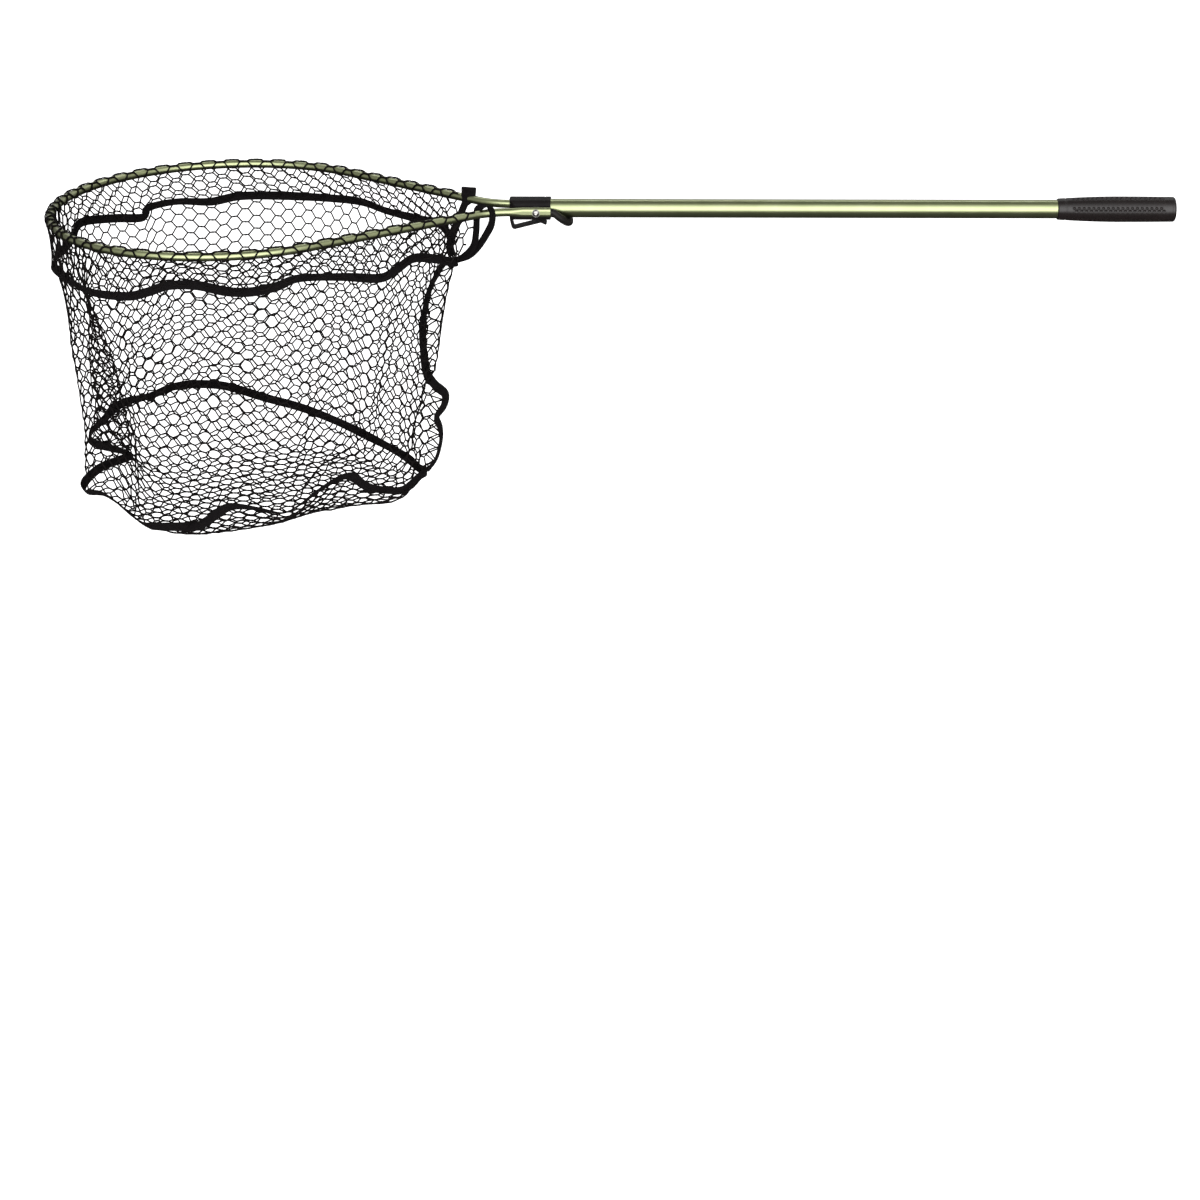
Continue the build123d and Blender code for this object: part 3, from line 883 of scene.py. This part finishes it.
def floor_net():
    """The bag's floor: netting cut to the floor tape and sewn to it, sagging a little."""
    pitch, row = MESH_PERIOD * FLOOR_SHRINK, MESH_ROW * FLOOR_SHRINK
    low, high = floor_loop.min(axis=0), floor_loop.max(axis=0)
    rows = int((high[1] - low[1]) / row) + 3
    joints = int((high[0] - low[0]) / pitch) + 3
    column = row_columns(rows, joints) * pitch + low[0] - pitch
    across = np.broadcast_to((np.arange(rows) * row + low[1] - row)[:, None, None], column.shape)
    plan = np.stack((column, across, np.zeros(column.shape)), axis=-1).reshape(-1, 3)
    within = inside(plan, floor_loop)
    number, twine_links, weak_links = mesh_links(rows, joints, False)
    nodes, cut = list(plan), {}
    for a, b in twine_links[:, :2].astype(int):
        if within[a] != within[b]:
            p, q = (plan[a], plan[b]) if within[a] else (plan[b], plan[a])
            low_t, high_t = 0.0, 1.0
            for _ in range(10):
                mid = (low_t + high_t) / 2
                if inside((p + (q - p) * mid)[None], floor_loop)[0]:
                    low_t = mid
                else:
                    high_t = mid
            cut[(a, b)] = cut[(b, a)] = len(nodes)
            nodes.append(p + (q - p) * low_t)
    nodes = np.array(nodes)
    kept = np.concatenate((within, np.ones(len(nodes) - len(plan), bool)))
    nodes[kept, 2] = loop_height(nodes[kept], floor_loop)
    edge = np.linalg.norm(nodes[:, None, :2] - floor_loop[None, ::2, :2], axis=2).min(axis=1)
    nodes[kept, 2] -= FLOOR_SAG * np.clip(edge[kept] / FLOOR_EDGE, 0.0, 1.0)
    pinned = np.ones(len(nodes), bool)
    pinned[: len(plan)] = ~within
    links, rest, weight = [], [], []
    for table, strength in ((twine_links, 1.0), (weak_links, WEAK)):
        for a, b, long in table:
            a, b = int(a), int(b)
            if within[a] and within[b]:
                links.append((a, b))
                rest.append(long * FLOOR_SLACK)
                weight.append(strength)
            elif strength == 1.0 and (a, b) in cut:
                inner = a if within[a] else b
                links.append((inner, cut[(a, b)]))
                rest.append(np.linalg.norm(nodes[inner] - nodes[cut[(a, b)]]) * FLOOR_EDGE_SLACK)
                weight.append(1.0)
    draw = np.random.default_rng(SEED + 2)
    nodes = relax(
        nodes + draw.normal(0.0, 1.0, nodes.shape) * (~pinned)[:, None],
        np.array(links),
        np.array(rest) * draw.uniform(0.95, 1.05, len(rest)),
        np.array(weight),
        pinned,
        GRAVITY * 3,
    )
    above = nodes[:, 2] - FLOOR_LOWEST
    nodes[:, 2] = FLOOR_LOWEST + FLOOR_SOFT * np.logaddexp(0.0, above / FLOOR_SOFT)
    runs = [run for r in range(rows - 1) for run in floor_runs(number, r, within, cut)]
    return stack([floor_run(nodes, run) for run in runs])


def floor_runs(number, r, within, cut):
    """The stretches of one yarn that lie inside the tape, as pairs of a node and its side."""
    path, sides = [], []
    for i in range(number.shape[1]):
        for row_number, side in row_order(r):
            path += list(number[row_number, i])
            sides += [side, side]
    runs, run = [], []
    for k, at in enumerate(path):
        if not within[at]:
            continue
        if k and not within[path[k - 1]] and (path[k - 1], at) in cut:
            run = [(cut[(path[k - 1], at)], None)]
        run.append((at, sides[k]))
        if k + 1 == len(path) or not within[path[k + 1]]:
            if k + 1 < len(path) and (at, path[k + 1]) in cut:
                run.append((cut[(at, path[k + 1])], None))
            if len(run) > 2:
                runs.append(run)
            run = []
    return runs


def floor_run(nodes, run):
    """A tube of yarn through the floor's nodes from tape to tape."""
    points = [nodes[run[0][0]]]
    for (a, side_a), (b, side_b) in zip(run, run[1:]):
        p, q = nodes[a], nodes[b]
        joint = side_a is not None and side_a == side_b
        way = unit(q - p)
        out = square_to(np.cross(way, UP), way)
        for t in (0.25, 0.5, 0.75, 1.0):
            lift = 0.0
            if joint:
                turn = 2 * math.pi * t
                lift = TWINE_OFFSET * side_a * (math.cos(turn) * -out + math.sin(turn) * UP)
            elif t == 1.0 and side_b is not None:
                lift = TWINE_OFFSET * side_b * -out
            points.append(p + (q - p) * t + lift)
    line = softened(np.array(points))
    return tube(line, np.tile(UP, (len(line), 1)), TWINE_R, TWINE_SIDES)


THIRDS = (0, 12, 23, WALL_ROWS - 1)
for part_name, first, last in zip(("upper", "middle", "lower"), THIRDS, THIRDS[1:]):
    v, q = net_yarns(wall, True, first, last)
    piece("net_wall_" + part_name, v, q, "hoop", TWINE, replaces=("net_wall",))
v, q = net_yarns(collar, False, 0, COLLAR_ROWS - 1, clear_of_hoop)
piece("net_collar_mesh", v, q, "hoop", TWINE, replaces=("net_collar",))
v, q = floor_net()
piece("net_floor_mesh", v, q, "hoop", TWINE, replaces=("net_floor",))


# ------------------------------------------------------------------------------ tapes
RIM_WAVES = ((5, 0.35, 0.0), (9, 0.2, 1.0))
FLOOR_LEAN = -0.5
FLOOR_WAVES = ((4, 0.4, 0.6), (7, 0.3, 2.0))


def wall_normals(line, lean, waves):
    """Outward normals for a band that runs round the bag, twisting a little as it goes."""
    way = tangents(line, True)
    out = unit(np.cross(way, UP))
    centre = line.mean(axis=0)
    out = out * np.sign(np.sum(out * (line - centre) * (1, 1, 0), axis=1, keepdims=True))
    turn = np.linspace(0.0, 2 * math.pi, len(line), endpoint=False)
    twist = lean + sum(size * np.sin(count * turn + phase) for count, size, phase in waves)
    return np.cos(twist)[:, None] * out + np.sin(twist)[:, None] * UP


v, q, uv = band(rim, wall_normals(rim, 0.0, RIM_WAVES), closed=True)
piece("rim_tape_band", v, q, "hoop", TAPE, uv, ("rim_tape",))
floor_normals = wall_normals(floor_loop, FLOOR_LEAN, FLOOR_WAVES)
v, q, uv = band(floor_loop, floor_normals, closed=True)
piece("floor_tape_band", v, q, "hoop", TAPE, uv, ("floor_tape",))
seam_turn = -0.70 + 0.35 * np.sin(9.0 * np.linspace(0.0, 1.0, len(seam)))
seam_normals = np.stack((np.cos(seam_turn), np.sin(seam_turn), 0 * seam_turn), axis=1)
v, q, uv = band(seam, seam_normals)
piece("back_seam_band", v, q, "hoop", TAPE, uv, ("back_seam_tape",))


def strap(points, tube_way, width):
    """A loop of tape over the hoop tube, both its legs sewn to the rim tape."""
    line = smooth(points, step=1.5)
    way = tangents(line)
    across = square_to(np.tile(tube_way, (len(line), 1)), way)
    rise = np.clip((line[:, 2] - STRAP_WIDENS_Z) / STRAP_WIDENS_OVER, 0.0, 1.0)
    return band(line, np.cross(way, across), width[0] + (width[1] - width[0]) * rise)


parts = [
    strap(NEAR_STRAP, STRAP_FLAT_NEAR, STRAP_WIDE_NEAR),
    strap(FAR_STRAP, STRAP_FLAT_FAR, STRAP_WIDE_FAR),
]
v, q, uv = stack_bands(parts)
piece("throat_straps", v, q, "hoop", TAPE, uv, ("throat_tape", "strap_loops"))


# ------------------------------------------------------------------------------ grip
GRIP_START, GRIP_END, GRIP_BELLY = 555.0, 676.0, 620.0
GRIP_RADII = (11.4, 13.65, 13.3)
TUBE_BORE_R = 10.05
GRIP_AROUND = 168
GRIP_STEP = 0.55
GRIP_COLLAR = 9.0
GROOVE_WIDE, GROOVE_DEEP = 0.8, 0.45
NOSE_ROUND = 1.2
DIMPLE_PITCH = 5.1
DIMPLE_MARGIN = 9.0
DIMPLE_BANDS = 6
DIMPLE_BAND_TURN = math.radians(17.0)
DIMPLE_LINE_TURN = 0.115
DIMPLE_R, DIMPLE_DEEP = 1.7, 1.2
LIP_R, LIP_WIDE, LIP_HIGH = 2.0, 0.4, 0.15


def grip_radius(x):
    """Outer radius of the grip: slim at the front, fullest past the middle."""
    t = np.clip((x - GRIP_START) / (GRIP_BELLY - GRIP_START), 0.0, 1.0)
    front = GRIP_RADII[0] + (GRIP_RADII[1] - GRIP_RADII[0]) * np.sin(t * math.pi / 2)
    s = np.clip((x - GRIP_BELLY) / (GRIP_END - GRIP_BELLY), 0.0, 1.0)
    return front - (GRIP_RADII[1] - GRIP_RADII[2]) * s**2


def dimple_line(x, a, radius, band_number, side):
    """Grip radius with one more line of dimples, each with a faint lip."""
    first = GRIP_START + GRIP_COLLAR + DIMPLE_MARGIN
    count = int((GRIP_END - DIMPLE_MARGIN - first) / DIMPLE_PITCH)
    centre = (band_number + 0.5) * 2 * math.pi / DIMPLE_BANDS
    centre = centre + DIMPLE_BAND_TURN + side * DIMPLE_LINE_TURN
    off = np.angle(np.exp(1j * (a - centre))) * radius
    shift = 0.25 * DIMPLE_PITCH * side
    k = np.clip(np.round((x - first - shift) / DIMPLE_PITCH), 0, count)
    gap = np.hypot(x - (first + shift + k * DIMPLE_PITCH), off)
    dimple = np.clip(1 - (gap / DIMPLE_R) ** 2, 0.0, 1.0)
    lip = np.exp(-(((gap - LIP_R) / LIP_WIDE) ** 2))
    return radius - DIMPLE_DEEP * dimple + LIP_HIGH * lip


def grip_mesh():
    """The moulded grip: a plain collar, then bands of two staggered lines of dimples."""
    xs = np.arange(GRIP_START, GRIP_END + 0.01, GRIP_STEP)
    turn = np.linspace(0.0, 2 * math.pi, GRIP_AROUND, endpoint=False)
    x, a = np.meshgrid(xs, turn, indexing="ij")
    radius = grip_radius(x)
    groove_x = GRIP_START + GRIP_COLLAR
    radius = radius - np.exp(-(((x - groove_x) / GROOVE_WIDE) ** 2)) * GROOVE_DEEP
    radius = radius - NOSE_ROUND * np.clip(1 - (x - GRIP_START) / NOSE_ROUND, 0, 1) ** 2
    for band_number in range(DIMPLE_BANDS):
        for side in (-1, 1):
            radius = dimple_line(x, a, radius, band_number, side)
    x = np.vstack((x[:1] * 0 + GRIP_START, x, x[:1] * 0 + GRIP_END))
    bore = np.full((1, GRIP_AROUND), TUBE_BORE_R)
    radius = np.vstack((bore, radius, bore))
    ring = np.stack((x, radius * np.cos(turn), radius * np.sin(turn)), axis=-1)
    quads = ring_quads(len(ring), GRIP_AROUND, True)
    return ring.reshape(-1, 3), quads[:, ::-1]


v, q = grip_mesh()
piece("grip_dimpled", v, q, "handle", GRIP, replaces=("grip",))


# ------------------------------------------------------------------------------ studio
def area_light(name, place, aim, size, power, glossy=True):
    """A soft rectangular light, placed and aimed in row-frame metres."""
    data = bpy.data.lights.new(name, "AREA")
    data.shape = "RECTANGLE"
    data.size, data.size_y = size
    data.energy = power
    light = linked(name, data)
    light.location = place
    way = Vector(aim) - Vector(place)
    light.rotation_euler = way.to_track_quat("-Z", "Y").to_euler()
    light.visible_glossy = glossy


STUDIO_FLOOR_Z = -0.62
STUDIO_HALF = 20.0
floor_mesh = bpy.data.meshes.new("studio_floor")
corners = [(-1, -1), (1, -1), (1, 1), (-1, 1)]
floor_mesh.from_pydata(
    [(x * STUDIO_HALF, y * STUDIO_HALF, STUDIO_FLOOR_Z) for x, y in corners], [], [(0, 1, 2, 3)]
)
floor = linked("studio_floor", floor_mesh)
FLOOR_GLOW = {"Emission_Color": (1, 1, 1, 1), "Emission_Strength": 0.75}
FLOOR_MAT = material("studio_floor", (0.93, 0.93, 0.93), 0.9, Specular_IOR_Level=0.0, **FLOOR_GLOW)
floor_mesh.materials.append(FLOOR_MAT)
floor.visible_glossy = False

middle = Vector((-0.15, 0.0, -0.05))
area_light("rear_strip", (0.0, 1.9, 2.7), middle, (5.0, 0.5), 14.0)
area_light("fill", (0.0, -1.5, 4.0), middle, (6.0, 6.0), 60.0, glossy=False)

world = bpy.data.worlds.new("studio")
bpy.context.scene.world = world
world.use_nodes = True
tree = world.node_tree
background = tree.nodes["Background"]
coordinates = tree.nodes.new("ShaderNodeTexCoord")
split = tree.nodes.new("ShaderNodeSeparateXYZ")
tree.links.new(coordinates.outputs["Generated"], split.inputs[0])


def sky_ramp(axis, stops):
    """Grey level read from a direction's part along one axis, by (part, grey) stops."""
    spread = tree.nodes.new("ShaderNodeMapRange")
    spread.inputs["From Min"].default_value = -1.0
    ramp = tree.nodes.new("ShaderNodeValToRGB")
    tree.links.new(split.outputs[axis], spread.inputs["Value"])
    tree.links.new(spread.outputs["Result"], ramp.inputs["Fac"])
    elements = ramp.color_ramp.elements
    while len(elements) < len(stops):
        elements.new(0.5)
    for element, (part, grey) in zip(elements, stops):
        element.position = (part + 1) / 2
        element.color = (grey, grey, grey, 1)
    return ramp.outputs["Color"]


BY_HEIGHT = (
    (-1.0, 0.03), (-0.42, 0.04), (-0.30, 0.20), (-0.12, 0.85), (0.0, 1.0), (0.40, 1.0), (0.60, 0.80),
    (0.78, 0.42), (0.93, 0.12), (1.0, 0.06),
)
BY_DEPTH = ((-1.0, 1.0), (-0.1, 0.75), (0.5, 0.35), (0.9, 0.12))
SKY_STRENGTH = 3.0
BY_SIDE = ((-1.0, 0.15), (-0.70, 0.20), (-0.40, 1.0), (0.55, 1.0), (0.80, 0.25), (1.0, 0.15))
level = sky_ramp("Z", BY_HEIGHT)
for axis, stops in (("Y", BY_DEPTH), ("X", BY_SIDE)):
    both = tree.nodes.new("ShaderNodeMix")
    both.data_type, both.blend_type = "RGBA", "MULTIPLY"
    both.inputs[0].default_value = 1.0
    tree.links.new(level, both.inputs[6])
    tree.links.new(sky_ramp(axis, stops), both.inputs[7])
    level = both.outputs[2]
tree.links.new(level, background.inputs["Color"])
background.inputs["Strength"].default_value = SKY_STRENGTH
bpy.context.scene.view_settings.view_transform = "Standard"

# ------------------------------------------------------------------------------ camera
# The angles, distance and lens come from a least-squares fit made outside this script.
ELEVATION = math.radians(18.75)
AZIMUTH = math.radians(1.62)
ROLL = math.radians(-0.32)
DISTANCE = 2.653
LENS = 72.9
SHIFT_Y = -0.2146
TARGET = Vector(to_row((67.0, 0.0, -152.0)))
camera_data = bpy.data.cameras.new("camera")
camera_data.sensor_width = 36.0
camera_data.lens = LENS
camera_data.shift_y = SHIFT_Y
camera_data.clip_start, camera_data.clip_end = 0.05, 100.0
camera = linked("camera", camera_data)
back = Vector(
    (
        math.sin(AZIMUTH) * math.cos(ELEVATION),
        -math.cos(AZIMUTH) * math.cos(ELEVATION),
        math.sin(ELEVATION),
    )
)
camera.location = TARGET + back * DISTANCE
camera.rotation_mode = "QUATERNION"
camera.rotation_quaternion = (
    Matrix.Rotation(ROLL, 3, back) @ (-back).to_track_quat("-Z", "Y").to_matrix()
).to_quaternion()
bpy.context.scene.camera = camera
